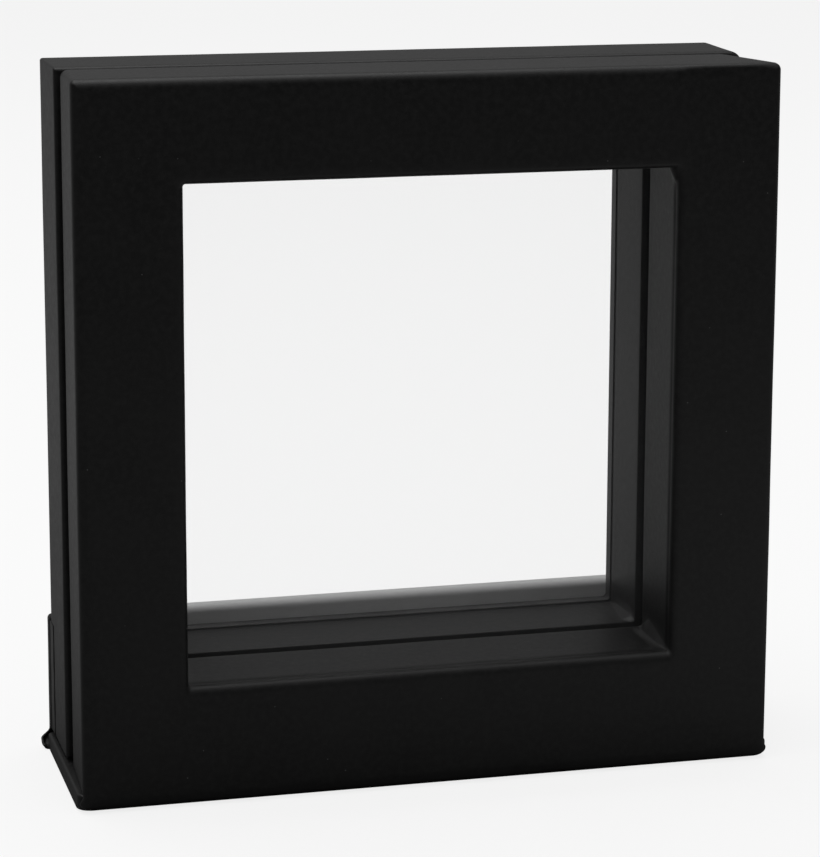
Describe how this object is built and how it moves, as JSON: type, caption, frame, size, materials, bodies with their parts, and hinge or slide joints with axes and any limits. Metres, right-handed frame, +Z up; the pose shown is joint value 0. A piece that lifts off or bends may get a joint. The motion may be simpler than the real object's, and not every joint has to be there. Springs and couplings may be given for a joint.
{
  "type": "floating display frame",
  "caption": "Free-standing square display frame: hinged front and rear halves in black covering hold a small object between two clear stretch films in a see-through window.",
  "frame": {"origin": "centre of the underside of the closed frame, on the surface it stands on", "axes": "+X to the frame's right seen from the front, +Y from the front face to the back, +Z up"},
  "size_m": [0.101, 0.0326, 0.1017],
  "materials": {
    "black_cover": "fine-grained matte covering paper with a faint sheen",
    "grey_board": "bare pressed greyboard",
    "fibreboard": "bare fibreboard",
    "black_card": "matte black card",
    "clear_film": "clear gloss",
    "nickel": "satin",
    "lining_paper": "matte"
  },
  "bodies": {
    "spine": {"spine_cover": "black_cover", "spine_board": "grey_board", "spine_lining": "lining_paper", "front_crease": "black_cover", "rear_crease": "black_cover"},
    "front_half": {"front_cover": "black_cover", "front_face_board": "grey_board", "front_top_rail": "fibreboard", "front_bottom_rail": "fibreboard", "front_left_rail": "fibreboard", "front_right_rail": "fibreboard", "front_left_magnet": "nickel", "front_right_magnet": "nickel", "front_film_card": "black_card", "front_film": "clear_film"},
    "rear_half": {"rear_cover": "black_cover", "rear_face_board": "grey_board", "rear_top_rail": "fibreboard", "rear_bottom_rail": "fibreboard", "rear_left_rail": "fibreboard", "rear_right_rail": "fibreboard", "rear_left_magnet": "nickel", "rear_right_magnet": "nickel", "rear_film_card": "black_card", "rear_film": "clear_film", "flap_cover": "black_cover", "flap_board": "grey_board"}
  },
  "joints": [
    {"name": "front_crease_hinge", "type": "hinge", "parent": "spine", "child": "front_half", "pos_m": [0, -0.0158, 0.00075], "axis": [1, 0, 0], "range_deg": [0, 90]},
    {"name": "rear_crease_hinge", "type": "hinge", "parent": "spine", "child": "rear_half", "pos_m": [0, 0.0158, 0.00075], "axis": [-1, 0, 0], "range_deg": [0, 90]}
  ]
}
